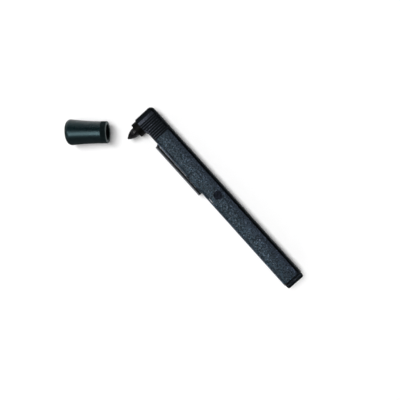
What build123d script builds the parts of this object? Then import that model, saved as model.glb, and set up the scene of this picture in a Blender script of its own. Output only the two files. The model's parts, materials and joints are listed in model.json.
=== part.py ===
from build123d import *
import math
import os

# Lens cleaning pen with its cap taken off, in millimetres.
# The pen lies on its back face. The origin is the centre of that face, halfway along
# the barrel moulding. +X runs to the head, the cleaning tip points along +Y, and +Z
# rises out of the front face. The cap lies beside the head on its tapered side.

# Barrel moulding: a hollow rectangular tube with a solid L-shaped head
barrel_length = 127.4
barrel_width = 12.3
barrel_thickness = 10.0
barrel_edge_radius = 2.2
head_corner_radius = 2.9
barrel_wall = 1.5
cavity_corner_radius = 0.8
solid_head_length = 13.5
tail_edge_chamfer = 0.25

# Raised pad on the +Y side of the head, which carries the tip holder
head_pad_height = 0.7
head_pad_length = 8.9
head_pad_blend_radius = 3.4
head_pad_corner_chamfer = 0.8
pad_edge_radius = 0.4

# Grip grooves across the head, on the front and the back
groove_count = 9
groove_pitch = 1.44
groove_width = 0.6
groove_depth = 0.4
first_groove_from_head = 5.3

# Round recess of the injection gate, near the middle of the front face
gate_recess_diameter = 5.0
gate_from_middle = -0.3
gate_recess_depth = 0.35
gate_vestige_diameter = 1.2
gate_vestige_height = 0.2

# Pocket clip: an arm along the +Y side, rooted on a low pad of the barrel
clip_root_from_head = 56.9
clip_length = 37.3
clip_width = 5.0
clip_outer_height_at_root = 2.2
clip_outer_height_at_foot = 2.35
clip_gap_at_root = 0.42
clip_gap_at_foot = 0.4
clip_foot_length = 1.0
clip_foot_reach = 0.7
clip_foot_clearance = 0.06
clip_edge_radius = 1.1
clip_pad_height = 0.15
clip_pad_length = 12.4
clip_pad_blend_radius = 1.0
clip_tongue_length = 3.0
clip_tongue_width = 2.8
clip_tongue_from_root = 2.8
clip_hook_length = 0.6
clip_hook_thickness = 0.9
clip_tongue_clearance = 0.4

# End plug, pushed into the tail of the barrel
plug_flange_length = 2.6
plug_flange_inset = 0.3
plug_flange_taper_inset = 0.35
plug_corner_radius = 1.3
plug_end_radius = 0.9
plug_edge_chamfer = 0.25
plug_spigot_length = 9.0
plug_spigot_wall = 1.2
plug_spigot_clearance = 0.15
plug_rib_width = 0.8
plug_rib_length = 6.0
plug_rib_inset = 1.2

# Tip holder: a round collar on a stem pressed into the head
tip_axis_from_head = 4.45
collar_diameter = 8.9
collar_height = 3.5
collar_edge_chamfer = 0.3
stem_diameter = 5.0
stem_length = 8.0
stem_chamfer = 0.5
stem_clearance = 0.02
spike_diameter = 1.8
spike_length = 3.4

# Conical cleaning tip: a soft pad on the spike, under a thin skin
tip_diameter = 5.7
tip_length = 7.0
tip_blunt_diameter = 0.3
tip_skin_thickness = 0.35
tip_fit_clearance = 0.02

# Cap: a round sleeve that tapers in a slight hollow curve, closed at its wide end
cap_length = 24.0
cap_closed_diameter = 14.9
cap_waist_diameter = 13.8
cap_waist_from_end = 8.5
cap_mouth_diameter = 12.8
cap_mouth_edge_radius = 0.4
cap_closed_corner_radius = 2.6
cap_dome_height = 0.5
cap_bore_diameter = 8.8
cap_bore_depth = 9.4
cap_bore_chamfer = 0.35
cap_end_x = 85.75
cap_end_y = 40.95
cap_heading = 228.08

# Foam plug that holds the cleaning compound at the bottom of the cap
foam_diameter = 7.2
foam_length = 9.0
foam_fit_clearance = 0.05
foam_dimple_diameter = 3.6
foam_dimple_depth = 1.6

# Points along the curved side of the tip
ogive_steps = 8

# Places that follow from the sizes
head_x = barrel_length / 2
tail_x = -barrel_length / 2
side_y = barrel_width / 2
mid_z = barrel_thickness / 2
head_pad_y = side_y + head_pad_height
head_pad_x = head_x - head_pad_length
clip_pad_y = side_y + clip_pad_height
clip_root_x = head_x - clip_root_from_head
clip_pad_tail_x = clip_root_x
clip_pad_head_x = clip_root_x + clip_pad_length
tip_x = head_x - tip_axis_from_head
collar_top_y = head_pad_y + collar_height
clip_tongue_x = clip_root_x + clip_tongue_from_root
clip_hook_top_y = side_y - barrel_wall - clip_tongue_clearance


def blend_run(rise, radius):
    """Length along the side that a concave arc needs to climb to a pad."""
    reach = min(rise, radius)
    return math.sqrt(2 * radius * reach - reach**2)


def concave_arc(top, foot, radius):
    """Arc from a pad's edge down to the side, tangent to the side at its foot."""
    center = Vector(foot[0], foot[1] + radius)
    middle = (Vector(*top) + Vector(*foot)) / 2
    toward = (middle - center).normalized()
    return ThreePointArc(top, center + toward * radius, foot)


def barrel_outline():
    """Plan of the barrel with both pads on its +Y side."""
    head_run = blend_run(head_pad_height, head_pad_blend_radius)
    clip_run = blend_run(clip_pad_height, clip_pad_blend_radius)
    head_foot = (head_pad_x - head_run, side_y)
    clip_head_foot = (clip_pad_head_x + clip_run, side_y)
    clip_tail_foot = (clip_pad_tail_x - clip_run, side_y)
    head_top = (head_pad_x, head_pad_y)
    clip_head_top = (clip_pad_head_x, clip_pad_y)
    clip_tail_top = (clip_pad_tail_x, clip_pad_y)
    edges = [
        Line((tail_x, -side_y), (head_x, -side_y)),
        Line((head_x, -side_y), (head_x, head_pad_y)),
        Line((head_x, head_pad_y), head_top),
        concave_arc(head_top, head_foot, head_pad_blend_radius),
        Line(head_foot, clip_head_foot),
        concave_arc(clip_head_top, clip_head_foot, clip_pad_blend_radius),
        Line(clip_head_top, clip_tail_top),
        concave_arc(clip_tail_top, clip_tail_foot, clip_pad_blend_radius),
        Line(clip_tail_foot, (tail_x, side_y)),
        Line((tail_x, side_y), (tail_x, -side_y)),
    ]
    return make_face(Wire(edges))


def is_level(edge):
    """True for an edge in the front or the back face."""
    box = edge.bounding_box()
    return box.size.Z < 1e-6


def on_pad(edge):
    """True for an edge that is the straight rim of a pad."""
    box = edge.bounding_box()
    return box.size.Y < 1e-6 and box.min.Y > side_y + 1e-6


def on_tail(edge):
    """True for an edge of the tail end."""
    return edge.bounding_box().max.X < tail_x + 1e-6


def barrel_block():
    """Outer shape of the barrel: long edges rounded, pads nearly sharp."""
    block = extrude(barrel_outline(), barrel_thickness)
    corner = block.edges().filter_by(Axis.Z).sort_by(lambda e: e.center().X - e.center().Y)[-1]
    block = fillet(corner, head_corner_radius)
    rims = [e for e in block.edges() if is_level(e) and not on_pad(e) and not on_tail(e)]
    block = fillet(rims, barrel_edge_radius)
    pads = [e for e in block.edges() if is_level(e) and on_pad(e)]
    return fillet(pads, pad_edge_radius)


def corner_cut():
    """Prism that takes off the head's +Y corner."""
    c = head_pad_corner_chamfer
    corner = Vector(head_x, head_pad_y)
    points = [corner + Vector(-c, 0), corner + Vector(c, c), corner + Vector(0, -c)]
    return extrude(make_face(Polyline(*points, close=True)), barrel_thickness)


def grip_grooves():
    """Straight slots across the front and the back of the head."""
    slots = []
    length = barrel_width + 2 * head_pad_height
    for index in range(groove_count):
        x = head_x - first_groove_from_head - index * groove_pitch
        for z in (groove_depth / 2, barrel_thickness - groove_depth / 2):
            slots.append(Pos(x, 0, z) * Box(groove_width, length, groove_depth))
    return slots


def gate_recess():
    """Shallow round recess with the stub of the gate left standing in it."""
    floor_z = barrel_thickness - gate_recess_depth
    up = (Align.CENTER, Align.CENTER, Align.MIN)
    disc = Cylinder(gate_recess_diameter / 2, gate_recess_depth, align=up)
    stub = Cylinder(gate_vestige_diameter / 2, gate_vestige_height, align=up)
    return Pos(gate_from_middle, 0, floor_z) * (disc - stub)


def cavity():
    """Hollow of the barrel, open at the tail."""
    end_x = head_x - solid_head_length
    section = RectangleRounded(
        barrel_width - 2 * barrel_wall,
        barrel_thickness - 2 * barrel_wall,
        cavity_corner_radius,
    )
    plane = Plane(origin=(tail_x, 0, mid_z), x_dir=(0, 1, 0), z_dir=(1, 0, 0))
    return extrude(plane * section, end_x - tail_x)


def holder_bore():
    """Blind bore in the head for the tip holder's stem."""
    depth = stem_length + stem_clearance
    plane = Plane(origin=(tip_x, head_pad_y, mid_z), z_dir=(0, -1, 0))
    return extrude(plane * Circle(stem_diameter / 2), depth)


def clip_slot():
    """Slot through the +Y wall for the clip's tongue."""
    length = clip_tongue_length + 2 * clip_tongue_clearance
    width = clip_tongue_width + 2 * clip_tongue_clearance
    low_y = side_y - barrel_wall
    depth = barrel_wall + clip_pad_height
    return Pos(clip_tongue_x, low_y + depth / 2, mid_z) * Box(length, depth, width)


def make_barrel():
    """Barrel moulding with its head, pads, grip, recess, hollow and seats."""
    barrel = barrel_block() - corner_cut()
    tail_rim = [e for e in barrel.edges() if on_tail(e)]
    barrel = chamfer(tail_rim, tail_edge_chamfer)
    barrel -= grip_grooves()
    barrel -= [gate_recess(), cavity(), holder_bore(), clip_slot()]
    return barrel


def make_end_plug():
    """Tapered flange on a hollow spigot with crush ribs."""
    plane = Plane(origin=(tail_x, 0, mid_z), x_dir=(0, 1, 0), z_dir=(-1, 0, 0))
    wide = barrel_width - 2 * plug_flange_inset
    tall = barrel_thickness - 2 * plug_flange_inset
    cut = 2 * plug_flange_taper_inset
    near = plane * RectangleRounded(wide, tall, plug_corner_radius)
    far_plane = plane.offset(plug_flange_length)
    far = far_plane * RectangleRounded(wide - cut, tall - cut, plug_corner_radius)
    flange = loft([near, far])
    end_rim = flange.faces().sort_by(Axis.X)[0].center().X
    flange = fillet([e for e in flange.edges() if e.bounding_box().max.X < end_rim + 1e-6],
                    plug_end_radius)
    flange = chamfer([e for e in flange.edges() if e.bounding_box().min.X > tail_x - 1e-6],
                     plug_edge_chamfer)
    return flange + plug_spigot()


def plug_spigot():
    """Hollow spigot that fills the barrel's mouth, with ribs that touch its walls."""
    plane = Plane(origin=(tail_x, 0, mid_z), x_dir=(0, 1, 0), z_dir=(1, 0, 0))
    gap = 2 * (barrel_wall + plug_spigot_clearance)
    wide = barrel_width - gap
    tall = barrel_thickness - gap
    outer = extrude(plane * RectangleRounded(wide, tall, cavity_corner_radius), plug_spigot_length)
    inner = plane * Rectangle(wide - 2 * plug_spigot_wall, tall - 2 * plug_spigot_wall)
    spigot = outer - extrude(inner, plug_spigot_length)
    rib_x = tail_x + plug_rib_inset + plug_rib_length / 2
    for sign in (-1, 1):
        y = sign * (wide / 2)
        z = sign * (tall / 2)
        rib_height = 2 * plug_spigot_clearance
        spigot += Pos(rib_x, y, mid_z) * Box(plug_rib_length, rib_height, plug_rib_width)
        spigot += Pos(rib_x, 0, mid_z + z) * Box(plug_rib_length, plug_rib_width, rib_height)
    return spigot


def clip_profile():
    """Side outline of the clip's arm and foot, in plan."""
    root_x = clip_root_x
    foot_x = root_x + clip_length
    inner_root = side_y + clip_gap_at_root
    inner_foot = side_y + clip_gap_at_foot
    contact_y = side_y + clip_foot_clearance
    outer_root = side_y + clip_outer_height_at_root
    outer_foot = side_y + clip_outer_height_at_foot
    points = [
        (root_x, inner_root),
        (foot_x - clip_foot_length / 2, inner_foot),
        (foot_x - clip_foot_length / 2 + 0.1, contact_y),
        (foot_x + clip_foot_reach, contact_y),
        (foot_x, inner_foot + clip_foot_reach),
        (foot_x, outer_foot),
        (root_x, outer_root),
    ]
    return make_face(Polyline(*points, close=True))


def make_pocket_clip():
    """Clip arm with rounded outer edges, and the hooked tongue under its root."""
    arm = Pos(0, 0, mid_z - clip_width / 2) * extrude(clip_profile(), clip_width)
    edges = [e for e in arm.edges() if is_level(e) and e.length > 0.9 * clip_length]
    outer = [e for e in edges if e.center().Y > side_y + clip_outer_height_at_root / 2]
    arm = fillet(outer, clip_edge_radius)
    hook_low_y = clip_hook_top_y - clip_hook_thickness
    tongue_top_y = side_y + clip_outer_height_at_root / 2
    tongue_height = tongue_top_y - hook_low_y
    tongue = Pos(clip_tongue_x, hook_low_y + tongue_height / 2, mid_z) * Box(
        clip_tongue_length, tongue_height, clip_tongue_width
    )
    hook = Pos(clip_tongue_x, hook_low_y + clip_hook_thickness / 2, mid_z) * Box(
        clip_tongue_length + 2 * (clip_hook_length + clip_tongue_clearance),
        clip_hook_thickness,
        clip_tongue_width,
    )
    return arm + tongue + hook


def tip_axis_plane(y):
    """Plane across the tip's axis at height y, facing out of the head."""
    return Plane(origin=(tip_x, y, mid_z), z_dir=(0, 1, 0))


def make_tip_holder():
    """Collar, stem and spike of the tip holder, in one piece."""
    collar = extrude(tip_axis_plane(head_pad_y) * Circle(collar_diameter / 2), collar_height)
    top = collar.edges().filter_by(GeomType.CIRCLE).sort_by(Axis.Y)[-1]
    collar = chamfer(top, collar_edge_chamfer)
    stem_radius = stem_diameter / 2 - stem_clearance
    stem = extrude(tip_axis_plane(head_pad_y - stem_length) * Circle(stem_radius), stem_length)
    foot = stem.edges().filter_by(GeomType.CIRCLE).sort_by(Axis.Y)[0]
    stem = chamfer(foot, stem_chamfer)
    spike = extrude(tip_axis_plane(collar_top_y) * Circle(spike_diameter / 2), spike_length)
    return collar + stem + spike


def ogive(inset):
    """Solid pointed arch of revolution on the collar, drawn in by an inset."""
    base = tip_diameter / 2
    blunt = tip_blunt_diameter / 2
    radius = (tip_length**2 + base**2) / (2 * base)
    center_x = base - radius
    arc_radius = radius - inset
    sweep = math.acos((blunt - center_x) / arc_radius)
    angles = [sweep * step / ogive_steps for step in range(ogive_steps + 1)]
    points = [
        (center_x + arc_radius * math.cos(angle), arc_radius * math.sin(angle))
        for angle in angles
    ]
    edges = [
        Line((0, 0), points[0]),
        Spline(*points),
        Line(points[-1], (0, points[-1][1])),
        Line((0, points[-1][1]), (0, 0)),
    ]
    plane = Plane(origin=(tip_x, collar_top_y, mid_z), x_dir=(1, 0, 0), z_dir=(0, 0, 1))
    return revolve(plane * make_face(Wire(edges)), Axis((tip_x, 0, mid_z), (0, 1, 0)))


def make_tip_pad():
    """Soft core of the tip, with the socket that takes the spike."""
    radius = spike_diameter / 2 + tip_fit_clearance
    socket = extrude(tip_axis_plane(collar_top_y) * Circle(radius), spike_length + tip_fit_clearance)
    return ogive(tip_skin_thickness + tip_fit_clearance) - socket


def make_tip_skin():
    """Thin lint-free skin over the soft core."""
    return ogive(0) - ogive(tip_skin_thickness)


def cap_plane():
    """Plane at the cap's closed end, facing along its axis to the mouth."""
    taper = math.atan2((cap_closed_diameter - cap_mouth_diameter) / 2, cap_straight_length())
    end_radius = cap_closed_diameter / 2 + cap_shoulder() * math.tan(taper)
    height = end_radius * math.cos(taper)
    heading = math.radians(cap_heading)
    level = Vector(math.cos(heading), math.sin(heading), 0)
    axis = level * math.cos(taper) - Vector(0, 0, 1) * math.sin(taper)
    side = Vector(0, 0, 1).cross(level)
    return Plane(origin=(cap_end_x, cap_end_y, height), x_dir=side, z_dir=axis)


def cap_shoulder():
    """Distance from the closed end to the widest ring."""
    return cap_dome_height + cap_closed_corner_radius


def cap_straight_length():
    """Length of the side between the widest ring and the mouth."""
    return cap_length - cap_shoulder()


def cap_shell():
    """Outside of the cap along +Z: dome, round corner, hollow taper and rounded mouth."""
    wide = cap_closed_diameter / 2
    waist = cap_waist_diameter / 2
    mouth = cap_mouth_diameter / 2
    corner = cap_closed_corner_radius
    rim = cap_mouth_edge_radius
    shoulder = cap_shoulder()
    flat = wide - corner
    turn = corner * math.sqrt(0.5)
    rim_turn = rim * (1 - math.sqrt(0.5))
    rim_z = cap_length - rim
    edges = [
        ThreePointArc((-flat, cap_dome_height), (0, 0), (flat, cap_dome_height)),
        ThreePointArc((flat, cap_dome_height), (flat + turn, shoulder - turn), (wide, shoulder)),
        ThreePointArc((wide, shoulder), (waist, cap_waist_from_end), (mouth, rim_z)),
        ThreePointArc((mouth, rim_z), (mouth - rim_turn, cap_length - rim_turn), (mouth - rim, cap_length)),
        Line((mouth - rim, cap_length), (rim - mouth, cap_length)),
        ThreePointArc((rim - mouth, cap_length), (rim_turn - mouth, cap_length - rim_turn), (-mouth, rim_z)),
        ThreePointArc((-mouth, rim_z), (-waist, cap_waist_from_end), (-wide, shoulder)),
        ThreePointArc((-wide, shoulder), (-flat - turn, shoulder - turn), (-flat, cap_dome_height)),
    ]
    face = make_face(Wire(edges))
    half = face & Pos(wide, cap_length / 2) * Rectangle(2 * wide, 2 * cap_length)
    return revolve(Plane.XZ * half, Axis.Z)


def make_cap():
    """Cap with its open bore and the pocket behind it for the foam."""
    up = (Align.CENTER, Align.CENTER, Align.MAX)
    bore = Pos(0, 0, cap_length) * Cylinder(cap_bore_diameter / 2, cap_bore_depth, align=up)
    pocket_depth = cap_bore_depth + foam_length
    pocket = Pos(0, 0, cap_length) * Cylinder(foam_diameter / 2, pocket_depth, align=up)
    cap = cap_shell() - bore - pocket
    radius = cap_bore_diameter / 2
    mouth = [e for e in cap.edges().filter_by(GeomType.CIRCLE)
             if e.center().Z > cap_length - 1e-6 and abs(e.radius - radius) < 1e-6]
    cap = chamfer(mouth, cap_bore_chamfer)
    return cap_plane().location * cap


def make_cap_foam():
    """Foam plug with a dimple where the cleaning tip rests."""
    up = (Align.CENTER, Align.CENTER, Align.MAX)
    top_z = cap_length - cap_bore_depth
    radius = foam_diameter / 2 - foam_fit_clearance
    plug = Pos(0, 0, top_z) * Cylinder(radius, foam_length, align=up)
    dimple = Pos(0, 0, top_z) * Cone(0, foam_dimple_diameter / 2, foam_dimple_depth, align=up)
    return cap_plane().location * (plug - dimple)


def main():
    """Build every piece and write one STEP file for each."""
    pieces = {
        "barrel": make_barrel(),
        "end_plug": make_end_plug(),
        "pocket_clip": make_pocket_clip(),
        "tip_holder": make_tip_holder(),
        "tip_pad": make_tip_pad(),
        "tip_skin": make_tip_skin(),
        "cap": make_cap(),
        "cap_foam": make_cap_foam(),
    }
    os.makedirs("parts", exist_ok=True)
    for name, piece in pieces.items():
        export_step(piece, f"parts/{name}.step")


main()
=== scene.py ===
"""Looks for a lens cleaning pen: its moulded finishes, the suede tip, the foam and a studio.

The pen lies on its back face on a white table, with its cap taken off beside the head.
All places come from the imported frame, in metres: +X to the head, +Y the way the tip
points, +Z up. Inside a finish, places and sizes are in millimetres, and only the depths
of its relief are in metres.
"""

import json
import math

import bmesh
import bpy
from bpy.props import FloatProperty, FloatVectorProperty, IntProperty, PointerProperty
from mathutils import Matrix, Vector, noise


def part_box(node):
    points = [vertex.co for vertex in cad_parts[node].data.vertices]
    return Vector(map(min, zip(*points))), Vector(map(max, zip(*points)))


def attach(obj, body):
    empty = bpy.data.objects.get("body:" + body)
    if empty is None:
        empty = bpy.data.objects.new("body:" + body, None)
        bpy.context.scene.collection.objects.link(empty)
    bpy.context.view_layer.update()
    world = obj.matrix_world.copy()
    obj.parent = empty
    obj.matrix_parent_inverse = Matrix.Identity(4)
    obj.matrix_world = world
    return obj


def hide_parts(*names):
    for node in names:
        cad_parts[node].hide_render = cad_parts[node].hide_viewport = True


bl_info = {
    "name": "Lens cleaning pen",
    "version": (1, 0, 0),
    "blender": (4, 5, 0),
    "location": "3D View > Sidebar > Cleaning Pen",
    "description": "Finishes and soft pieces of a pocket lens cleaning pen, with its studio",
    "category": "Object",
}

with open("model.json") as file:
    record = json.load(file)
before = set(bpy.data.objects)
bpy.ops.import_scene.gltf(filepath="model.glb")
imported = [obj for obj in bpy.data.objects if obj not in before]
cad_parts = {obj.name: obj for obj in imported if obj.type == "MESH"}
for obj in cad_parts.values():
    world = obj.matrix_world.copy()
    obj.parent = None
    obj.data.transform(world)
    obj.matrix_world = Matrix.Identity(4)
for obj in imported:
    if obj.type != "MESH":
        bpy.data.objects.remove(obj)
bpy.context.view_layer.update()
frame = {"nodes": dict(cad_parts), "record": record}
MM = 0.001


def mount(name):
    """Place, direction and sizes of one of the pen's stated interfaces."""
    stated = next(m for m in frame["record"]["mounts"] if m["name"] == name)
    return Vector(stated["pos_m"]), Vector(stated["axis"]).normalized(), stated["dims"]


# ---------------------------------------------------------------- settings


class BarrelSettings(bpy.types.PropertyGroup):
    """Moulded barrel and its end plug"""

    face_color: FloatVectorProperty(
        name="Face", description="Colour of the spark-textured faces",
        subtype="COLOR", size=3, min=0, max=1, default=(0.0110, 0.0192, 0.0270))
    # Near-black, painted as shade: on the rounded edges and ends that turn away from the light,
    # in the grooves, at the tail's joint and on the plug's end
    shaded_edge_color: FloatVectorProperty(
        name="Edges", description="Colour of the smooth rounded edges",
        subtype="COLOR", size=3, min=0, max=1, default=(0.0010, 0.0011, 0.0014))
    grip_color: FloatVectorProperty(
        name="Grip", description="Colour of the lands between the grooves at the head",
        subtype="COLOR", size=3, min=0, max=1, default=(0.0112, 0.0124, 0.0160))
    gate_color: FloatVectorProperty(
        name="Gate mark", description="Colour of the smooth round gate mark",
        subtype="COLOR", size=3, min=0, max=1, default=(0.0040, 0.0042, 0.0075))
    plug_color: FloatVectorProperty(
        name="End plug", description="Colour of the end plug",
        subtype="COLOR", size=3, min=0, max=1, default=(0.0130, 0.0152, 0.0196))
    grain: FloatProperty(
        name="Grain", description="Size of one grain of the spark texture",
        unit="LENGTH", min=0.0001, max=0.003, default=0.0005)
    grain_depth: FloatProperty(
        name="Grain depth", description="Depth of the spark texture",
        unit="LENGTH", min=0, max=0.0005, default=0.00015)
    crown: FloatProperty(
        name="Crown", description="Angle that the broad faces have turned by, at their edges",
        subtype="ANGLE", min=0, max=0.3, default=math.radians(6))
    grip_length: FloatProperty(
        name="Grip length", description="Length of the grooved grip at the head",
        unit="LENGTH", min=0, max=0.05, default=0.0171)
    first_groove: FloatProperty(
        name="First groove", description="Middle of the first groove, from the head's end",
        unit="LENGTH", min=0, max=0.02, default=0.0053)
    groove_pitch: FloatProperty(
        name="Groove pitch", description="Distance from one groove to the next",
        unit="LENGTH", min=0.0005, max=0.005, default=0.00144)
    groove_width: FloatProperty(
        name="Groove width", description="Width of a groove",
        unit="LENGTH", min=0.0001, max=0.002, default=0.0006)
    # The band at the head's end is painted near-black as shade, where the end turns away from the
    # light
    head_shade_band: FloatProperty(
        name="Black band", description="Length of the smooth black band at the head's end",
        unit="LENGTH", min=0, max=0.01, default=0.0032)
    gate_place: FloatProperty(
        name="Gate place", description="Place along the barrel of the round gate mark",
        unit="LENGTH", min=-0.05, max=0.05, default=-0.0003)
    gate_radius: FloatProperty(
        name="Gate radius", description="Radius of the round gate mark",
        unit="LENGTH", min=0, max=0.01, default=0.0025)
    # The scuff is a worn patch on the edge, painted pale as a highlight
    scuff_place: FloatProperty(
        name="Scuff", description="Place along the barrel of the scuff on its edge",
        unit="LENGTH", min=-0.06, max=0.06, default=-0.0002)
    scuff_length: FloatProperty(
        name="Scuff length", description="Length of the scuff on the edge",
        unit="LENGTH", min=0, max=0.02, default=0.0034)


class ClipSettings(bpy.types.PropertyGroup):
    """Pocket clip"""

    color: FloatVectorProperty(
        name="Clip", description="Colour of the clip's plastic",
        subtype="COLOR", size=3, min=0, max=1, default=(0.0028, 0.0042, 0.0062))
    # Painted reflection: the clip's outer rounded edge is painted pale, as the white table
    # reflects in it
    edge_reflection_color: FloatVectorProperty(
        name="Rubbed edge", description="Colour of the clip's outer edge, rubbed pale by pockets",
        subtype="COLOR", size=3, min=0, max=1, default=(0.21, 0.22, 0.24))


class TipSettings(bpy.types.PropertyGroup):
    """Collar and cleaning tip"""

    holder_color: FloatVectorProperty(
        name="Collar", description="Colour of the collar's plastic",
        subtype="COLOR", size=3, min=0, max=1, default=(0.0012, 0.0013, 0.0011))
    suede_color: FloatVectorProperty(
        name="Suede", description="Colour of the tip's fine suede",
        subtype="COLOR", size=3, min=0, max=1, default=(0.0012, 0.0009, 0.0017))
    nap: FloatProperty(
        name="Nap", description="Height of the suede's uneven nap",
        unit="LENGTH", min=0, max=0.0003, default=0.00003)
    skin: FloatProperty(
        name="Skin", description="Thickness of the suede",
        unit="LENGTH", min=0.0001, max=0.001, default=0.0003)
    turns: IntProperty(
        name="Rings", description="Soft rings pressed into the suede",
        min=0, max=12, default=4)


class CapSettings(bpy.types.PropertyGroup):
    """Cap and the foam in it"""

    color: FloatVectorProperty(
        name="Cap", description="Colour of the cap's rubber",
        subtype="COLOR", size=3, min=0, max=1, default=(0.0014, 0.0064, 0.0078))
    lip_color: FloatVectorProperty(
        name="Lip", description="Colour of the dull band behind the mouth",
        subtype="COLOR", size=3, min=0, max=1, default=(0.0004, 0.0016, 0.0018))
    # The rim is painted pale as a highlight, broken up by the rubber's grain
    rim_color: FloatVectorProperty(
        name="Rim", description="Colour of the rim, where it is rubbed pale",
        subtype="COLOR", size=3, min=0, max=1, default=(0.060, 0.075, 0.075))
    grain: FloatProperty(
        name="Grain", description="Size of one grain of the rubber's texture",
        unit="LENGTH", min=0.0001, max=0.003, default=0.0006)
    lip: FloatProperty(
        name="Lip length", description="Length of the dull band behind the mouth",
        unit="LENGTH", min=0, max=0.02, default=0.0032)
    foam_color: FloatVectorProperty(
        name="Foam", description="Colour of the foam that holds the cleaning powder",
        subtype="COLOR", size=3, min=0, max=1, default=(0.018, 0.019, 0.020))
    pore: FloatProperty(
        name="Pore", description="Size of one pore of the foam",
        unit="LENGTH", min=0.0001, max=0.002, default=0.0004)
    dimple: FloatProperty(
        name="Dimple", description="Depth of the dimple that the tip has pressed",
        unit="LENGTH", min=0, max=0.004, default=0.0016)


class StudioSettings(bpy.types.PropertyGroup):
    """Table, lamps and camera"""

    table_color: FloatVectorProperty(
        name="Table", description="Colour of the table and backdrop",
        subtype="COLOR", size=3, min=0, max=1, default=(0.97, 0.97, 0.97))
    table_radius: FloatProperty(
        name="Table radius", description="Flat part of the table, before the backdrop rises",
        unit="LENGTH", min=0.3, max=5, default=1.3)
    key_place: FloatVectorProperty(
        name="Key place", description="Middle of the softbox over the table",
        subtype="TRANSLATION", unit="LENGTH", size=3, default=(0.31, 0.29, 1.8))
    key_length: FloatProperty(
        name="Key length", description="Length of the softbox, in line with the pen",
        unit="LENGTH", min=0.05, max=4, default=1.7)
    key_width: FloatProperty(
        name="Key width", description="Width of the softbox",
        unit="LENGTH", min=0.05, max=4, default=0.68)
    key_level: FloatProperty(
        name="Key light", description="Light on the table from the softbox, where 1 is full",
        min=0, max=4, default=1.03)
    fill_place: FloatVectorProperty(
        name="Fill place", description="Middle of the low fill lamp on the clip's side",
        subtype="TRANSLATION", unit="LENGTH", size=3, default=(0.15, 1.2, 0.9))
    fill_size: FloatProperty(
        name="Fill size", description="Side of the square fill lamp",
        unit="LENGTH", min=0.05, max=4, default=0.8)
    fill_level: FloatProperty(
        name="Fill light", description="Light on the table from the fill lamp, where 1 is full",
        min=0, max=4, default=0.03)
    sky_level: FloatProperty(
        name="Room light", description="Even light from the room, where 1 is full",
        min=0, max=2, default=0.04)
    view_angle: FloatProperty(
        name="View angle", description="Angle that the camera takes in",
        subtype="ANGLE", min=0.1, max=2, default=math.radians(55))


class CleaningPenSettings(bpy.types.PropertyGroup):
    """All that can be set on the cleaning pen"""

    barrel: PointerProperty(type=BarrelSettings)
    clip: PointerProperty(type=ClipSettings)
    tip: PointerProperty(type=TipSettings)
    cap: PointerProperty(type=CapSettings)
    studio: PointerProperty(type=StudioSettings)


# ---------------------------------------------------------------- node work


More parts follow.
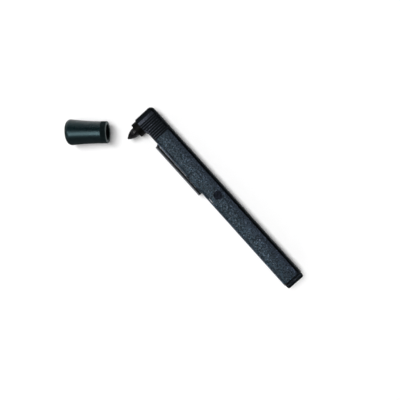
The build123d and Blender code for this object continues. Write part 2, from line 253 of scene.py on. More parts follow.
class Finish:
    """A material on its way: its node tree, with short ways to add what a finish needs.

    place is where a point is, in millimetres. facing is the way its surface faces, and each
    part of that goes from -1 to 1.
    """

    def __init__(self, name, **shader):
        self.material = bpy.data.materials.new(name)
        self.material.use_nodes = True
        self.tree = self.material.node_tree
        self.tree.nodes.clear()
        self.surface = self.add("ShaderNodeBsdfPrincipled")
        for socket, value in shader.items():
            self.surface.inputs[socket.replace("_", " ")].default_value = value
        output = self.add("ShaderNodeOutputMaterial")
        self.join(self.surface.outputs["BSDF"], output.inputs["Surface"])
        coords = self.add("ShaderNodeTexCoord")
        self.facing = coords.outputs["Normal"]
        self.place = self.vector("SCALE", coords.outputs["Object"], scale=1 / MM)

    def add(self, kind, **inputs):
        node = self.tree.nodes.new(kind)
        for socket, value in inputs.items():
            self.feed(node.inputs[socket.replace("_", " ")], value)
        return node

    def feed(self, socket, value):
        if isinstance(value, bpy.types.NodeSocket):
            self.join(value, socket)
        else:
            socket.default_value = value

    def join(self, start, end):
        self.tree.links.new(start, end)

    def set(self, socket, value):
        self.join(value, self.surface.inputs[socket])

    def math(self, operation, *values):
        node = self.tree.nodes.new("ShaderNodeMath")
        node.operation = operation
        for socket, value in zip(node.inputs, values):
            self.feed(socket, value)
        return node.outputs[0]

    def plus(self, first, second):
        return self.math("ADD", first, second)

    def minus(self, first, second):
        return self.math("SUBTRACT", first, second)

    def times(self, first, second):
        return self.math("MULTIPLY", first, second)

    def larger(self, first, second):
        return self.math("MAXIMUM", first, second)

    def size(self, value):
        """The number without its sign."""
        return self.math("ABSOLUTE", value)

    def left(self, share):
        """What a share leaves of the whole."""
        return self.math("SUBTRACT", 1.0, share)

    def vector(self, operation, *values, scale=None):
        node = self.tree.nodes.new("ShaderNodeVectorMath")
        node.operation = operation
        for socket, value in zip(node.inputs, values):
            self.feed(socket, value)
        if scale is not None:
            self.feed(node.inputs["Scale"], scale)
        return node.outputs["Value" if operation in ("DOT_PRODUCT", "LENGTH") else "Vector"]

    def along(self, vector, direction):
        """How far a vector goes in a direction."""
        return self.vector("DOT_PRODUCT", vector, tuple(direction))

    def parts(self, vector):
        """The X, Y and Z of a vector."""
        node = self.add("ShaderNodeSeparateXYZ", Vector=vector)
        return tuple(node.outputs[k] for k in "XYZ")

    def step(self, value, start, end, low=0.0, high=1.0):
        """Smooth change from low to high as value goes from start to end."""
        node = self.tree.nodes.new("ShaderNodeMapRange")
        node.interpolation_type = "SMOOTHSTEP"
        names = ("Value", "From Min", "From Max", "To Min", "To Max")
        for name, given in zip(names, (value, start, end, low, high)):
            self.feed(node.inputs[name], given)
        return node.outputs["Result"]

    def fade(self, value, start, end):
        """1 up to start, 0 from end on, with a smooth change between them."""
        return self.step(value, start, end, low=1.0, high=0.0)

    def past(self, value, limit, soft):
        """0 before the limit, 1 past it, over a soft border."""
        return self.step(value, limit - soft, limit + soft)

    def band(self, value, start, end, soft):
        """1 between start and end, 0 outside, over a soft border."""
        fall = self.fade(value, end - soft, end + soft)
        return self.times(self.past(value, start, soft), fall)

    def noise(self, size, detail=2.0, roughness=0.6, stretch=None, seed=0.0):
        """Cloudy pattern with grains of this size in millimetres."""
        place = self.place
        if stretch:
            place = self.vector("MULTIPLY", place, stretch)
        if seed:
            place = self.vector("ADD", place, (seed, seed * 0.7, -seed))
        node = self.add("ShaderNodeTexNoise", Vector=place, Scale=1 / size,
                        Detail=detail, Roughness=roughness)
        return node.outputs["Fac"]

    def cells(self, size):
        """Distance to the nearest point of a scatter, of this spacing in millimetres."""
        node = self.add("ShaderNodeTexVoronoi", Vector=self.place, Scale=1 / size)
        return node.outputs["Distance"]

    def blend(self, share, first, second):
        """Colour between first and second."""
        node = self.tree.nodes.new("ShaderNodeMix")
        node.data_type = "RGBA"
        self.feed(node.inputs[0], share)
        self.feed(node.inputs[6], rgba(first))
        self.feed(node.inputs[7], rgba(second))
        return node.outputs[2]

    def mixed(self, first, second, share):
        """Number between first and second."""
        node = self.tree.nodes.new("ShaderNodeMix")
        node.data_type = "FLOAT"
        self.feed(node.inputs[0], share)
        self.feed(node.inputs[2], first)
        self.feed(node.inputs[3], second)
        return node.outputs[0]

    def shade(self, color, amount):
        """The colour made darker or lighter all over by an amount that varies."""
        return self.vector("SCALE", color, scale=amount)

    def bump(self, height, depth, strength=1.0, under=None):
        """Relief of this depth in metres, on top of another relief if one is given."""
        node = self.add("ShaderNodeBump", Height=height, Distance=depth, Strength=strength)
        if under is not None:
            self.join(under, node.inputs["Normal"])
        return node.outputs["Normal"]


def rgba(value):
    """A colour with its alpha, or a socket as it is."""
    if isinstance(value, bpy.types.NodeSocket):
        return value
    return (*value, 1.0)


def tinted(color, factor):
    """The colour made darker or lighter."""
    return tuple(min(1.0, c * factor) for c in color)


def hued(color, factors):
    """The colour with its red, green and blue made stronger or weaker."""
    return tuple(c * factor for c, factor in zip(color, factors))


def dress(node_name, material):
    """Gives a moulded piece its finish."""
    piece = frame["nodes"][node_name]
    piece.data.materials.clear()
    piece.data.materials.append(material)


# ---------------------------------------------------------------- finishes

# Gloss of the barrel's plastic and of the cap's rubber, with a cool tint
BARREL_GLOSS = {"Specular_IOR_Level": 0.11, "Specular_Tint": (0.62, 0.84, 1.0, 1.0)}
CAP_GLOSS = {"Specular_IOR_Level": 0.28, "Specular_Tint": (0.58, 0.92, 1.0, 1.0)}

# Spark texture: tone of the skin between the grains, and what a grain and a bare glint add
SKIN_TONE, SPARK_TONE, GLINT_TONE = 0.2, 1.8, 3.2

# Hues of the barrel's face: its warmer grains, and painted shade that turns it greyer and darker
# on its side away from the tip, where less light falls
WARM_HUE = (1.35, 0.98, 0.90)
SHADED_SIDE_HUE = (0.88, 0.66, 0.72)

# Painted highlights: glints on each nick round the gate mark, a highlight on the worn scuff,
# and light along the line beside the clip
NICK_GLINT_COLOR = (0.22, 0.26, 0.28)
SCUFF_HIGHLIGHT_COLOR = (0.42, 0.43, 0.45)
SLIT_HIGHLIGHT_COLOR = (0.13, 0.17, 0.24)

# Roughness of the barrel's parts, and by how much grains and wear change it
FACE_ROUGH, GRIP_ROUGH, POLISHED_ROUGH, PLUG_ROUGH = 0.48, 0.70, 0.16, 0.60
SPARK_SHINE, WORN_DULL = 0.22, 0.2

# Joint at the tail, from the barrel's end: where its painted shade turns to face, and how far the
# shading falls away to it, by which slope. The plug's end, painted black as shade, starts beyond
# it.
JOINT_SHADE, JOINT_FACE = 0.95, 1.20
JOINT_REACH, JOINT_SLOPE = 1.15, 0.45
PLUG_SHADE, PLUG_FACE = 1.3, 0.7

# Half the width of the parting line along the barrel's sides, and its soft border
PARTING_HALF, PARTING_SOFT = 0.06, 0.03

# Colours of the tip's core, under its dust and in it, and of the powder in the foam
CORE_COLOR, DUST_COLOR = (0.010, 0.010, 0.010), (0.024, 0.024, 0.024)
POWDER_COLOR = (0.008, 0.008, 0.008)

# Depths of relief in metres
WAVE_RELIEF, PARTING_RELIEF, FLECK_RELIEF = 0.00002, 0.00004, 0.000006
FIBRE_RELIEF, DUST_RELIEF = 0.00004, 0.00002
CLOUD_RELIEF, GRAIN_RELIEF, PORE_RELIEF = 0.00004, 0.00004, 0.00008

# The cap's shading leans to one side by this slope, and its shape doesn't
CAP_LEAN = 0.2


def spark_skin(f, grain_mm, seed=0.0):
    """Spark texture of a moulded face: its tone, how bare its grains are, and their height."""
    fine = f.noise(grain_mm, 3.0, 0.7, seed=seed)
    coarse = f.noise(grain_mm * 1.9, seed=seed + 7.0)
    large_clouds = f.noise(9.0, 3.0, 0.55, seed=seed + 3.0)
    small_clouds = f.noise(3.2, 2.0, 0.5, seed=seed + 5.0)
    cloud = f.mixed(large_clouds, small_clouds, share=0.4)
    spark = f.step(f.mixed(fine, coarse, share=0.6), 0.42, 0.58)
    glint = f.step(f.noise(grain_mm * 1.8, 1.0, 0.5, seed=seed + 31.0), 0.62, 0.68)
    tone = f.plus(f.times(spark, SPARK_TONE), SKIN_TONE)
    tone = f.plus(tone, f.times(glint, GLINT_TONE))
    tone = f.times(tone, f.step(cloud, 0.34, 0.66, low=0.76, high=1.22))
    return tone, spark, f.mixed(fine, coarse, share=0.5)


def gate_mark(f, settings, x, y, on_front):
    """The round gate mark with its uneven border, and painted glints on the nick marks on its
    side toward the light.
    """
    radius = settings.gate_radius / MM
    from_middle = f.minus(x, settings.gate_place / MM)
    flat_place = f.add("ShaderNodeCombineXYZ", X=from_middle, Y=y).outputs[0]
    uneven = f.step(f.noise(0.9, 1.0, 0.4, seed=19.0), 0.3, 0.7, low=-0.12, high=0.12)
    from_gate = f.plus(f.vector("LENGTH", flat_place), uneven)
    gate = f.times(f.fade(from_gate, radius + 0.05, radius + 0.2), on_front)

    border = f.band(from_gate, radius - 0.05, radius + 0.45, soft=0.1)
    nick_glints = f.times(border, f.step(f.noise(0.5, 3.0, 0.7, seed=17.0), 0.56, 0.66))
    light_side = f.step(f.plus(x, y), 0.3, 1.5)
    return gate, f.times(nick_glints, f.times(on_front, light_side))


def grooved_grip(f, settings, x, z, head, mid_z):
    """The grip, the plain land before its first groove, and the grooves across its faces, painted
    dark as shade and reaching onto the rounded edges.
    """
    grip_start = head - settings.grip_length / MM
    first_groove = head - settings.first_groove / MM
    pitch, half_groove = settings.groove_pitch / MM, settings.groove_width / MM / 2
    grip = f.past(x, grip_start, soft=0.2)
    plain_land = f.step(x, first_groove + 0.2, first_groove + 0.5)
    turn = f.math("FRACT", f.math("DIVIDE", f.minus(first_groove + pitch / 2, x), pitch))
    off_groove = f.times(f.size(f.minus(turn, 0.5)), pitch)
    groove = f.fade(off_groove, half_groove + 0.12, half_groove + 0.26)
    groove = f.times(groove, f.times(grip, f.left(plain_land)))
    on_face = f.step(f.size(f.minus(z, mid_z)), mid_z - 0.9, mid_z - 0.7)
    return grip, plain_land, f.times(groove, on_face)


def worn_and_lit_edge(f, settings, x, to_tip, on_front):
    """The scuff on the front edge toward the tip, a worn patch painted pale as a highlight, and
    the line in the clip's slit, painted pale as lit.
    """
    scuff_start = (settings.scuff_place - settings.scuff_length / 2) / MM
    scuff_end = (settings.scuff_place + settings.scuff_length / 2) / MM
    scuff = f.band(x, scuff_start, scuff_end, soft=0.5)
    scuff = f.times(scuff, f.times(f.band(to_tip, 0.40, 0.60, soft=0.05), on_front))
    scratches = f.noise(0.8, 3.0, 0.7, stretch=(0.35, 1.0, 1.0), seed=41.0)
    scuff = f.times(scuff, f.step(scratches, 0.40, 0.52))

    clip_low, clip_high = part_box("pocket_clip")
    slit_start, slit_end = clip_low.x / MM + 8, clip_high.x / MM
    # Painted highlight: a pale line along the barrel's edge in the clip's slit, brightest at the
    # clip's foot and fading toward its root
    slit = f.times(f.step(x, slit_start, slit_end - 1), f.fade(x, slit_end - 1, slit_end))
    return scuff, f.times(slit, f.times(f.step(to_tip, 0.72, 0.92), on_front))


def barrel_finish(settings):
    """Charcoal plastic: spark texture, edges painted black as shade, a grooved grip, a gate mark.
    """
    low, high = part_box("barrel")
    head, tail, half = high.x / MM, low.x / MM, -low.y / MM
    mid_z = (low.z + high.z) / 2 / MM
    f = Finish("barrel_spark_texture", **BARREL_GLOSS)
    x, y, z = f.parts(f.place)
    to_head, to_tip, _ = f.parts(f.facing)
    on_front = f.step(z, mid_z, mid_z + 1)

    # Painted shade: the glossy edges at the back and at the head, which turn away from the light,
    # and the band at the head's end are painted near-black. Painted highlight: the edge toward
    # the tip, which faces the light, is painted lighter.
    back_edge = f.times(f.fade(to_tip, -0.14, -0.05), f.step(to_tip, -0.985, -0.93))
    head_edge = f.step(to_head, 0.24, 0.32)
    lit_tip_edge = f.times(f.step(to_tip, 0.65, 0.93), f.fade(to_tip, 0.97, 0.999))
    polished_and_shaded = f.larger(back_edge, head_edge)
    smooth = f.larger(polished_and_shaded, f.past(x, head - settings.head_shade_band / MM, soft=0.15))
    joint = f.fade(x, tail + JOINT_SHADE, tail + JOINT_FACE)
    tone, spark, relief = spark_skin(f, settings.grain / MM)
    gate, nick_glints = gate_mark(f, settings, x, y, on_front)
    grip, plain_land, groove = grooved_grip(f, settings, x, z, head, mid_z)
    scuff, slit = worn_and_lit_edge(f, settings, x, to_tip, on_front)

    warm = f.step(f.noise(1.3, seed=61.0), 0.36, 0.64)
    hue = f.blend(warm, settings.face_color, hued(settings.face_color, WARM_HUE))
    # Painted shade: the face turns greyer and darker toward its side away from the tip, where
    # less light falls
    across = f.step(y, 1.5 - half, half - 2.5)
    hue = f.blend(across, hued(settings.face_color, SHADED_SIDE_HUE), hue)
    grip_start = head - settings.grip_length / MM
    # Painted light: the face is lighter toward the tail and darker toward the grip, as the
    # softbox's light falls along the pen
    tone = f.times(tone, f.step(x, -45.0, 35.0, low=1.22, high=0.95))
    tone = f.times(tone, f.step(x, grip_start - 10.0, grip_start, low=1.0, high=0.75))
    face = f.shade(hue, f.plus(tone, f.times(lit_tip_edge, 1.8)))

    # Painted light: the grip's lands are lighter toward the tip side, as the face is
    lit_land = f.step(y, 2.0 - half, half - 1.0, low=0.7, high=2.9)
    land = f.times(f.plus(f.times(tone, 0.6), 0.55), lit_land)
    land = f.times(land, f.plus(1.0, f.times(plain_land, 0.5)))
    face = f.blend(grip, face, f.shade(settings.grip_color, land))
    # Painted shade: the grooves are painted near-black
    face = f.blend(groove, face, settings.shaded_edge_color)

    blots = f.step(f.noise(1.2, seed=18.0), 0.36, 0.64, low=0.2, high=2.4)
    face = f.blend(gate, face, f.shade(settings.gate_color, blots))
    # Painted highlights: glints on the nick marks, the worn scuff and the line in the clip's slit
    face = f.blend(f.times(nick_glints, 0.7), face, NICK_GLINT_COLOR)
    # Painted shade at the joint with the plug
    face = f.blend(joint, face, settings.shaded_edge_color)
    face = f.blend(scuff, face, SCUFF_HIGHLIGHT_COLOR)
    face = f.blend(f.times(slit, 0.8), face, SLIT_HIGHLIGHT_COLOR)
    worn = f.noise(1.1, 4.0, 0.7, stretch=(0.12, 1.0, 1.0), seed=11.0)
    worn = f.times(f.step(worn, 0.64, 0.78), polished_and_shaded)
    edge = f.blend(f.times(worn, 0.4), settings.shaded_edge_color, tinted(settings.shaded_edge_color, 6.0))
    f.set("Base Color", f.blend(smooth, face, edge))

    rough = f.minus(FACE_ROUGH, f.times(spark, SPARK_SHINE))
    rough = f.mixed(rough, GRIP_ROUGH, share=f.larger(grip, gate))
    edge_rough = f.plus(POLISHED_ROUGH, f.times(worn, WORN_DULL))
    f.set("Roughness", f.mixed(rough, edge_rough, share=f.larger(polished_and_shaded, joint)))

    crown = math.tan(settings.crown) / (2 * half)
    normal = f.bump(f.times(f.math("POWER", f.size(y), 2.0), -crown), MM)
    fall = f.math("MINIMUM", f.minus(x, tail + JOINT_REACH), 0.0)
    normal = f.bump(f.times(fall, JOINT_SLOPE), MM, 1.0, normal)
    normal = f.bump(f.noise(5.0, 1.0, 0.4, seed=23.0), WAVE_RELIEF, 0.5, normal)
    on_side = f.step(f.size(to_tip), 0.97, 0.99)
    line = f.band(z, mid_z - PARTING_HALF, mid_z + PARTING_HALF, PARTING_SOFT)
    normal = f.bump(f.times(line, on_side), PARTING_RELIEF, 0.8, normal)
    bare = f.larger(smooth, f.larger(gate, groove))
    f.set("Normal", f.bump(f.times(relief, f.left(bare)), settings.grain_depth, 1.0, normal))
    return f.material


def plug_finish(settings):
    """End plug: the barrel's texture on its sides, and its rounded end painted black as shade."""
    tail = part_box("barrel")[0].x / MM
    f = Finish("end_plug_texture", **BARREL_GLOSS)
    tone, spark, relief = spark_skin(f, settings.grain / MM, seed=50.0)
    # Painted shade: the rounded end, turned away from the light, is painted near-black
    end = f.fade(f.parts(f.place)[0], tail - PLUG_SHADE, tail - PLUG_FACE)
    f.set("Base Color", f.blend(end, f.shade(settings.plug_color, tone), settings.shaded_edge_color))
    rough = f.minus(PLUG_ROUGH, f.times(spark, 0.2))
    f.set("Roughness", f.mixed(rough, 0.8, share=end))
    normal = f.bump(f.noise(4.0, 1.0, 0.4, seed=27.0), WAVE_RELIEF, 0.5)
    f.set("Normal", f.bump(f.times(relief, f.left(end)), settings.grain_depth, 0.8, normal))
    return f.material


def smooth_plastic(name, color, rough, gloss, streak, seed, rubbed=None):
    """Satin moulded plastic with faint flow lines, small scuffs and a slight wave.

    Where a colour is given for it, the rounded edge toward +Y is painted pale as a reflection of
    the table, broken up by the flow lines.
    """
    f = Finish(name, Specular_IOR_Level=gloss)
    flow = f.noise(0.9, 3.0, 0.6, stretch=streak, seed=seed)
    fleck = f.noise(0.35, 2.0, 0.7, seed=seed + 5.0)
    tone = f.plus(f.times(flow, 0.6), f.times(fleck, 0.4))
    skin = f.blend(f.step(tone, 0.35, 0.65), tinted(color, 0.8), tinted(color, 1.25))
    # Painted reflection on the rounded edge toward +Y, in the colour given for it
    if rubbed is not None:
        to_tip = f.parts(f.facing)[1]
        round_edge = f.step(to_tip, 0.05, 0.75, low=0.0, high=0.9)
        outward = f.times(round_edge, f.step(to_tip, 0.93, 0.995, low=1.0, high=0.15))
        reflection_flow = f.step(flow, 0.3, 0.7, low=0.6, high=1.0)
        skin = f.blend(f.times(outward, reflection_flow), skin, rubbed)
    f.set("Base Color", skin)
    scuff = f.noise(0.7, 5.0, 0.75, stretch=(0.3, 1.0, 1.0), seed=seed + 9.0)
    f.set("Roughness", f.plus(rough, f.times(f.step(scuff, 0.6, 0.72), 0.14)))
    normal = f.bump(f.noise(3.0, 1.0, 0.4, seed=seed + 2.0), WAVE_RELIEF, 0.5)
    f.set("Normal", f.bump(fleck, FLECK_RELIEF, 0.5, normal))
    return f.material


def suede_finish(settings):
    """Fine napped suede: little gloss, a soft sheen, and a mottle of rubbed fibres."""
    f = Finish("tip_suede", Sheen_Weight=0.01, Sheen_Roughness=0.4, Specular_IOR_Level=0.20)
    fibre = f.noise(0.16, 4.0, 0.75, stretch=(1.0, 0.5, 1.0))
    rubbed = f.noise(0.8, 3.0, 0.6, seed=4.0)
    tone = f.plus(f.times(fibre, 0.5), f.times(rubbed, 0.5))
    dark, light = tinted(settings.suede_color, 0.6), tinted(settings.suede_color, 1.7)
    f.set("Base Color", f.blend(f.step(tone, 0.35, 0.65), dark, light))
    f.set("Roughness", f.step(rubbed, 0.4, 0.65, low=0.26, high=0.38))
    f.set("Normal", f.bump(fibre, FIBRE_RELIEF, 0.9))
    return f.material


def core_finish():
    """Soft black core under the suede, slightly dusty."""
    f = Finish("tip_core_rubber")
    dust = f.noise(0.3, 3.0, 0.7)
    f.set("Base Color", f.blend(dust, CORE_COLOR, DUST_COLOR))
    f.set("Roughness", f.step(dust, 0.3, 0.7, low=0.6, high=0.85))
    f.set("Normal", f.bump(dust, DUST_RELIEF, 0.6))
    return f.material


def cap_finish(settings):
    """Dark teal rubber: fine grain, a dull black lip, a rim painted pale as a highlight, a dull
    bore, painted shade on a flank.
    """
    middle, axis, dims = mount("cap_socket")
    side = axis.cross(Vector((0.0, 0.0, 1.0))).normalized()
    rim = max(v.co.dot(axis) for v in frame["nodes"]["cap"].data.vertices) / MM
    bore, lip = dims["r_mm"], settings.lip / MM
    f = Finish("cap_soft_rubber", **CAP_GLOSS)
    behind_rim = f.minus(rim, f.along(f.place, axis))
    from_middle = f.vector("SUBTRACT", f.place, tuple(middle / MM))
    on_axis = f.shade(tuple(axis), f.along(from_middle, axis))
    from_axis = f.vector("LENGTH", f.vector("SUBTRACT", from_middle, on_axis))
    inside = f.fade(from_axis, bore + 0.10, bore + 0.30)
    outside = f.left(inside)
    body = f.times(f.past(behind_rim, lip, soft=0.12), outside)
    # The rim's band, where a highlight is painted
    rubbed = f.times(f.fade(behind_rim, 0.12, 0.32), outside)
    # Painted shade: the flank on one side and the faces toward the closed end are painted darker,
    # as well as made rougher
    sideways, backward = f.along(f.facing, side), f.along(f.facing, -axis)
    dull = f.larger(f.step(sideways, 0.40, 0.65), f.step(backward, 0.35, 0.65))

    grain_mm = settings.grain / MM
    grain = f.noise(grain_mm, 3.0, 0.7)
    coarse = f.noise(grain_mm * 2.4, seed=13.0)
    cloud = f.noise(6.0, 2.0, 0.5, seed=5.0)
    texture = f.mixed(grain, coarse, share=0.4)
    spark = f.step(texture, 0.36, 0.66)
    tone = f.plus(f.times(spark, 1.2), 0.4)
    tone = f.times(tone, f.step(cloud, 0.3, 0.7, low=0.85, high=1.15))
    # Painted shade on that flank and the closed end
    tone = f.times(tone, f.left(f.times(dull, 0.75)))
    skin = f.blend(body, settings.lip_color, f.shade(settings.color, tone))
    # Painted highlight on the rim, broken up by the grain
    rim_sheen = f.times(rubbed, f.step(grain, 0.3, 0.6, low=0.55, high=1.0))
    skin = f.blend(rim_sheen, skin, settings.rim_color)
    f.set("Base Color", f.blend(inside, skin, tinted(settings.lip_color, 0.7)))

    rough = f.step(behind_rim, lip, lip + 14.0, low=0.31, high=0.37)
    rough = f.mixed(f.minus(rough, f.times(spark, 0.12)), 0.9, share=dull)
    f.set("Roughness", f.mixed(f.mixed(1.0, rough, share=body), 0.6, share=rubbed))

    normal = f.bump(f.times(f.along(f.place, side), CAP_LEAN), MM)
    normal = f.bump(cloud, CLOUD_RELIEF, 0.4, normal)
    relief = f.times(texture, f.plus(f.times(body, 0.9), 0.1))
    f.set("Normal", f.bump(relief, GRAIN_RELIEF, 0.9, normal))
    return f.material


def foam_finish(settings):
    """Open-cell foam, dark with powder, its pores painted darker as shade."""
    f = Finish("cap_foam_cells", Specular_IOR_Level=0.2)
    pore = f.cells(settings.pore / MM)
    dust = f.noise(0.9, 3.0, 0.6)
    dark, light = tinted(settings.foam_color, 0.35), tinted(settings.foam_color, 1.5)
    # Painted shade in the pores
    tone = f.blend(f.step(pore, 0.15, 0.6), dark, light)
    powder = f.step(dust, 0.4, 0.7, low=0.0, high=0.5)
    f.set("Base Color", f.blend(powder, tone, POWDER_COLOR))
    f.set("Roughness", f.step(dust, 0.3, 0.7, low=0.75, high=0.95))
    f.set("Normal", f.bump(pore, PORE_RELIEF, 0.9))
    return f.material


# ---------------------------------------------------------------- soft pieces


def smooth_object(name, work):
    """An object in the scene, with smooth shading, from a mesh in work."""
    data = bpy.data.meshes.new(name)
    work.to_mesh(data)
    work.free()
    for face in data.polygons:
        face.use_smooth = True
    made = bpy.data.objects.new(name, data)
    bpy.context.scene.collection.objects.link(made)
    return made


def turned_shape(name, loop, centre, axis, count, ruffle):
    """A closed solid turned about an axis from a loop of (radius, height).

    The loop starts and ends on the axis. Each ring has count points, and ruffle(point,
    radius, height) gives how far a point is pushed outward.
    """
    side = axis.orthogonal().normalized()
    other = axis.cross(side)
    work = bmesh.new()
    rings = []
    for index, (radius, height) in enumerate(loop):
        foot = centre + axis * height
        if index in (0, len(loop) - 1):
            rings.append([work.verts.new(foot)])
            continue
        ring = []
        for turn in range(count):
            angle = 2 * math.pi * turn / count
            out = side * math.cos(angle) + other * math.sin(angle)
            point = foot + out * radius
            ring.append(work.verts.new(point + out * ruffle(point, radius, height)))
        rings.append(ring)
    for first, second in zip(rings, rings[1:]):
        for turn in range(count):
            after = (turn + 1) % count
            if len(first) == 1:
                work.faces.new((first[0], second[after], second[turn]))
            elif len(second) == 1:
                work.faces.new((first[turn], first[after], second[0]))
            else:
                work.faces.new((first[turn], first[after], second[after], second[turn]))
    bmesh.ops.recalc_face_normals(work, faces=work.faces)
    return smooth_object(name, work)


def swell(height, middle, reach):
    """A smooth swelling: 1 at its middle, and gone beyond about twice its reach."""
    return math.exp(-(((height - middle) / reach) ** 2))


# Suede tip: its rings of points, which stand closer toward its point, how far its curve
# aims above its top, and how many thicknesses of suede are over its lining
TIP_RINGS, TIP_LINING_RINGS, TIP_POINTS = 44, 16, 120
RING_CROWDING, TIP_AIM, TOP_LAYERS = 1.15, 1.025, 2.2

# Depths, reaches and heights of what is pressed into the suede, and the grains of its nap
HEM_DEPTH, HEM_REACH, HEM_TUCK = 0.06 * MM, 0.45 * MM, 0.08 * MM
PINCH_DEPTH, PINCH_HEIGHT, PINCH_REACH = 0.10 * MM, 0.75 * MM, 0.22 * MM
RING_DEPTH = 0.018 * MM
TIP_GAP, TIP_LEAST_RADIUS = 0.02 * MM, 0.05 * MM
FINE_NAP, BROAD_NAP, CALM_POINT = 0.22 * MM, 1.1 * MM, 0.4 * MM
NAP_SHIFT = Vector((3.0, 1.0, 5.0))


def make_suede_tip(settings):
    """Pointed suede tip: a thin skin that follows the soft core, with a hem at the collar."""
    low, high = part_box("tip_skin")
    centre = Vector(((low.x + high.x) / 2, low.y, (low.z + high.z) / 2))
    base, tall = (high.x - low.x) / 2, high.y - low.y
    sharp = tall * TIP_AIM
    arc = (sharp**2 + base**2) / (2 * base)

    def radius_at(height, inset=0.0):
        return max(0.0, math.sqrt(max(0.0, (arc - inset) ** 2 - height**2)) - (arc - base))

    outer = []
    for ring in range(TIP_RINGS + 1):
        share = ring / TIP_RINGS
        height = tall * (1 - (1 - share) ** RING_CROWDING)
        hem = HEM_DEPTH * swell(height, 0.0, HEM_REACH)
        pinch = PINCH_DEPTH * swell(height, PINCH_HEIGHT, PINCH_REACH)
        turn = 2 * math.pi * settings.turns * height / tall
        pressed = RING_DEPTH * math.cos(turn) * (1 - share)
        outer.append((radius_at(height) - hem - pinch + pressed, height))
    outer[0] = (outer[0][0] - HEM_TUCK, TIP_GAP)
    outer = [p for p in outer if p[0] > TIP_LEAST_RADIUS and p[1] < tall - TIP_GAP]

    lining_top = tall - TOP_LAYERS * settings.skin
    lining = []
    for ring in range(TIP_LINING_RINGS):
        height = TIP_GAP + (lining_top - TIP_GAP) * ring / TIP_LINING_RINGS
        lining.append((radius_at(height, settings.skin), height))
    lining = [p for p in lining if p[0] > TIP_LEAST_RADIUS]
    loop = [(0.0, tall), *reversed(outer), *lining, (0.0, lining_top)]

    def ruffle(point, radius, height):
        if radius <= radius_at(height, settings.skin) + settings.skin * 0.4:
            return 0.0
        fine = noise.noise(point / FINE_NAP)
        broad = noise.noise(point / BROAD_NAP + NAP_SHIFT)
        return settings.nap * (0.5 * fine + 0.6 * broad) * min(1.0, radius / CALM_POINT)

    piece = turned_shape("tip_suede_skin", loop, centre, Vector((0, 1, 0)), TIP_POINTS, ruffle)
    piece.data.materials.append(suede_finish(settings))
    return piece


# Foam plug: its rings of points, the dimple, and how far it stays inside the cap's bore
FOAM_TOP_RINGS, FOAM_SIDE_RINGS, FOAM_POINTS = 30, 12, 110
DIMPLE_RADIUS = 1.8 * MM
FOAM_INSET, FOAM_SUNK, FOAM_GAP = 0.03 * MM, 0.12 * MM, 0.02 * MM
FOAM_ROUNDING, FOAM_SHOULDER, FOAM_CHAMFER = 0.35 * MM, 0.2 * MM, 0.3 * MM
SIDE_PORE_DEPTH, TOP_PORE_MM, TOP_LAYER = 0.10 * MM, 0.14, 0.3 * MM


def make_foam_plug(settings):
    """Foam plug in the cap, with its pores and the dimple that the tip rests in."""
    middle, axis, _ = mount("cap_socket")
    centre_line = middle - axis * middle.dot(axis)
    corners = [v.co for v in frame["nodes"]["cap_foam"].data.vertices]
    heights = [v.dot(axis) for v in corners]
    foot, tall = centre_line + axis * min(heights), max(heights) - min(heights)
    across = max((v - centre_line - axis * v.dot(axis)).length for v in corners)
    side = across - FOAM_INSET

    def top_at(radius):
        if radius >= DIMPLE_RADIUS:
            edge = max(0.0, (radius - across + FOAM_ROUNDING) / FOAM_ROUNDING)
            return tall - FOAM_SUNK - FOAM_SUNK * edge**2
        bowl = 0.5 + 0.5 * math.cos(math.pi * radius / DIMPLE_RADIUS)
        return tall - FOAM_SUNK - settings.dimple * bowl

    loop = [(0.0, top_at(0.0))]
    loop += [(side * k / FOAM_TOP_RINGS, top_at(side * k / FOAM_TOP_RINGS))
             for k in range(1, FOAM_TOP_RINGS + 1)]
    loop += [(side, tall * (1 - k / FOAM_SIDE_RINGS) - FOAM_SHOULDER)
             for k in range(1, FOAM_SIDE_RINGS - 1)]
    loop += [(side - FOAM_CHAMFER, FOAM_GAP), (0.0, FOAM_GAP)]

    def ruffle(point, radius, height):
        if radius <= across * 0.9:
            return 0.0
        return -SIDE_PORE_DEPTH * abs(noise.noise(point / settings.pore))

    piece = turned_shape("cap_foam_plug", loop, foot, axis, FOAM_POINTS, ruffle)
    for vertex in piece.data.vertices:
        height = (vertex.co - foot).dot(axis)
        if height > tall - settings.dimple - TOP_LAYER:
            pit = max(0.0, noise.noise(vertex.co / settings.pore) + 0.15)
            vertex.co -= axis * pit * TOP_PORE_MM * MM
    piece.data.materials.append(foam_finish(settings))
    return piece


# ---------------------------------------------------------------- studio

# The camera looks almost straight down, with a slight lean. Right and up are as it sees them.
CAMERA_PLACE = Vector((-0.003250, 0.000873, 0.227080))
CAMERA_LEAN = math.radians(3.0)
CAMERA_NEAR, CAMERA_FAR = 0.01, 20.0
VIEW_RIGHT = Vector((-0.66805, -0.74411, 0.0))
VIEW_UP = Vector((0.74411, -0.66805, 0.0))

# The table and its backdrop, turned about the middle of the stage
STAGE_CENTRE = Vector((0.0044, 0.0096, 0.0))
TABLE_DROP = 0.00002
BACKDROP_BEND, BACKDROP_WALL = 0.35, 0.45
TABLE_RINGS, TABLE_RING_SHARE = 50, 0.02
BEND_RINGS, WALL_RINGS, TABLE_POINTS = 16, 4, 96


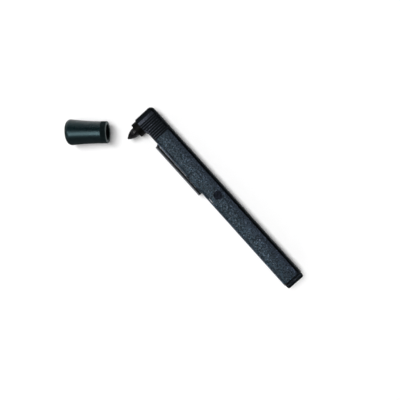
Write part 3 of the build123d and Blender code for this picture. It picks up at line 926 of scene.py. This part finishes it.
def make_backdrop(settings):
    """Round white table that curves up into a wall on every side."""
    flat = settings.table_radius
    section = [(TABLE_RING_SHARE * flat * k, 0.0) for k in range(1, TABLE_RINGS + 1)]
    bends = (math.pi / 2 * k / BEND_RINGS for k in range(1, BEND_RINGS + 1))
    section += [(flat + BACKDROP_BEND * math.sin(bend), BACKDROP_BEND * (1 - math.cos(bend)))
                for bend in bends]
    section += [(flat + BACKDROP_BEND, BACKDROP_BEND + BACKDROP_WALL * k / WALL_RINGS)
                for k in range(1, WALL_RINGS + 1)]
    work = bmesh.new()
    hub = work.verts.new(STAGE_CENTRE + Vector((0, 0, -TABLE_DROP)))
    angles = [2 * math.pi * k / TABLE_POINTS for k in range(TABLE_POINTS)]
    rings = [[work.verts.new(STAGE_CENTRE + Vector((
        radius * math.cos(angle), radius * math.sin(angle), height - TABLE_DROP)))
        for angle in angles] for radius, height in section]
    for k in range(TABLE_POINTS):
        work.faces.new((hub, rings[0][k], rings[0][(k + 1) % TABLE_POINTS]))
    for first, second in zip(rings, rings[1:]):
        for k in range(TABLE_POINTS):
            after = (k + 1) % TABLE_POINTS
            work.faces.new((first[k], second[k], second[after], first[after]))
    table = smooth_object("table_and_backdrop", work)

    paper = bpy.data.materials.new("white_paper")
    paper.use_nodes = True
    shader = paper.node_tree.nodes["Principled BSDF"]
    shader.inputs["Base Color"].default_value = (*settings.table_color, 1.0)
    shader.inputs["Roughness"].default_value = 0.9
    shader.inputs["Specular IOR Level"].default_value = 0.0
    table.data.materials.append(paper)


def put(name, data, right, up, back, place):
    """Puts a lamp or camera in the scene with these directions. It looks away from back."""
    holder = bpy.data.objects.new(name, data)
    holder.matrix_world = Matrix((
        (right.x, up.x, back.x, place[0]),
        (right.y, up.y, back.y, place[1]),
        (right.z, up.z, back.z, place[2]),
        (0, 0, 0, 1)))
    bpy.context.scene.collection.objects.link(holder)
    return holder


def make_softbox(name, place, length, width, level):
    """Rectangular lamp in line with the pen, aimed at the middle of the stage.

    Its power is the one that lights white paper there to this level.
    """
    lamp = bpy.data.lights.new(name, "AREA")
    lamp.shape = "RECTANGLE"
    lamp.size, lamp.size_y = length, width
    ray = STAGE_CENTRE - Vector(place)
    lamp.energy = level * math.pi**2 * ray.length_squared / abs(ray.normalized().z)
    back = -ray.normalized()
    right = (Vector((1, 0, 0)) - back * back.x).normalized()
    put(name, lamp, right, back.cross(right), back, place)


def make_camera(settings):
    """Camera over the table, almost straight above."""
    data = bpy.data.cameras.new("table_camera")
    data.sensor_width = 36.0
    data.angle = settings.view_angle
    data.clip_start, data.clip_end = CAMERA_NEAR, CAMERA_FAR
    cosine, sine, z = math.cos(CAMERA_LEAN), math.sin(CAMERA_LEAN), Vector((0, 0, 1))
    right = VIEW_RIGHT * cosine - z * sine
    back = z * cosine + VIEW_RIGHT * sine
    bpy.context.scene.camera = put("table_camera", data, right, VIEW_UP, back, CAMERA_PLACE)


def make_room_light(settings):
    """Even light from all round."""
    world = bpy.data.worlds.new("studio_room")
    world.use_nodes = True
    background = world.node_tree.nodes["Background"]
    background.inputs["Color"].default_value = (1.0, 1.0, 1.0, 1.0)
    background.inputs["Strength"].default_value = settings.sky_level
    bpy.context.scene.world = world


# ---------------------------------------------------------------- operators


class CLEANINGPEN_OT_stage(bpy.types.Operator):
    """Make the table, the lamps and the camera"""

    bl_idname = "cleaning_pen.stage"
    bl_label = "Studio"

    def execute(self, context):
        settings = context.scene.cleaning_pen.studio
        context.scene.view_settings.view_transform = "Standard"
        make_camera(settings)
        make_room_light(settings)
        make_backdrop(settings)
        make_softbox("key_softbox", settings.key_place,
                     settings.key_length, settings.key_width, settings.key_level)
        make_softbox("fill_softbox", settings.fill_place,
                     settings.fill_size, settings.fill_size, settings.fill_level)
        return {"FINISHED"}


class CLEANINGPEN_OT_barrel(bpy.types.Operator):
    """Finish the barrel and its end plug"""

    bl_idname = "cleaning_pen.barrel"
    bl_label = "Barrel and end plug"

    def execute(self, context):
        settings = context.scene.cleaning_pen.barrel
        dress("barrel", barrel_finish(settings))
        dress("end_plug", plug_finish(settings))
        return {"FINISHED"}


class CLEANINGPEN_OT_clip(bpy.types.Operator):
    """Finish the pocket clip"""

    bl_idname = "cleaning_pen.clip"
    bl_label = "Pocket clip"

    def execute(self, context):
        settings = context.scene.cleaning_pen.clip
        dress("pocket_clip", smooth_plastic(
            "clip_satin", settings.color, rough=0.42, gloss=0.045,
            streak=(0.08, 1.0, 1.0), seed=6.0, rubbed=settings.edge_reflection_color))
        return {"FINISHED"}


class CLEANINGPEN_OT_tip(bpy.types.Operator):
    """Finish the collar and make the suede cleaning tip"""

    bl_idname = "cleaning_pen.tip"
    bl_label = "Cleaning tip"

    def execute(self, context):
        settings = context.scene.cleaning_pen.tip
        dress("tip_holder", smooth_plastic(
            "collar_satin", settings.holder_color, rough=0.5, gloss=0.05,
            streak=(1.0, 0.2, 1.0), seed=12.0))
        dress("tip_pad", core_finish())
        skin = make_suede_tip(settings)
        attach(skin, "pen")
        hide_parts("tip_skin")
        return {"FINISHED"}


class CLEANINGPEN_OT_cap(bpy.types.Operator):
    """Finish the cap and make the foam plug in it"""

    bl_idname = "cleaning_pen.cap"
    bl_label = "Cap and foam"

    def execute(self, context):
        settings = context.scene.cleaning_pen.cap
        dress("cap", cap_finish(settings))
        foam = make_foam_plug(settings)
        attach(foam, "cap")
        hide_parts("cap_foam")
        return {"FINISHED"}


class CLEANINGPEN_PT_panel(bpy.types.Panel):
    """Pieces and finishes of the cleaning pen"""

    bl_idname = "CLEANINGPEN_PT_panel"
    bl_label = "Lens cleaning pen"
    bl_space_type = "VIEW_3D"
    bl_region_type = "UI"
    bl_category = "Cleaning Pen"

    def draw(self, context):
        settings = context.scene.cleaning_pen
        for operator, group in SECTIONS:
            box = self.layout.box()
            box.operator(operator.bl_idname)
            held = getattr(settings, group)
            for name in held.__annotations__:
                box.prop(held, name)


SECTIONS = (
    (CLEANINGPEN_OT_stage, "studio"),
    (CLEANINGPEN_OT_barrel, "barrel"),
    (CLEANINGPEN_OT_clip, "clip"),
    (CLEANINGPEN_OT_tip, "tip"),
    (CLEANINGPEN_OT_cap, "cap"),
)
CLASSES = (
    BarrelSettings,
    ClipSettings,
    TipSettings,
    CapSettings,
    StudioSettings,
    CleaningPenSettings,
    *(operator for operator, _ in SECTIONS),
    CLEANINGPEN_PT_panel,
)


def register():
    for cls in CLASSES:
        bpy.utils.register_class(cls)
    bpy.types.Scene.cleaning_pen = PointerProperty(type=CleaningPenSettings)


def unregister():
    del bpy.types.Scene.cleaning_pen
    for cls in reversed(CLASSES):
        bpy.utils.unregister_class(cls)


def main():
    """Make everything in order."""
    register()
    bpy.ops.cleaning_pen.stage()
    bpy.ops.cleaning_pen.barrel()
    bpy.ops.cleaning_pen.clip()
    bpy.ops.cleaning_pen.tip()
    bpy.ops.cleaning_pen.cap()


if __name__ == "__main__":
    main()
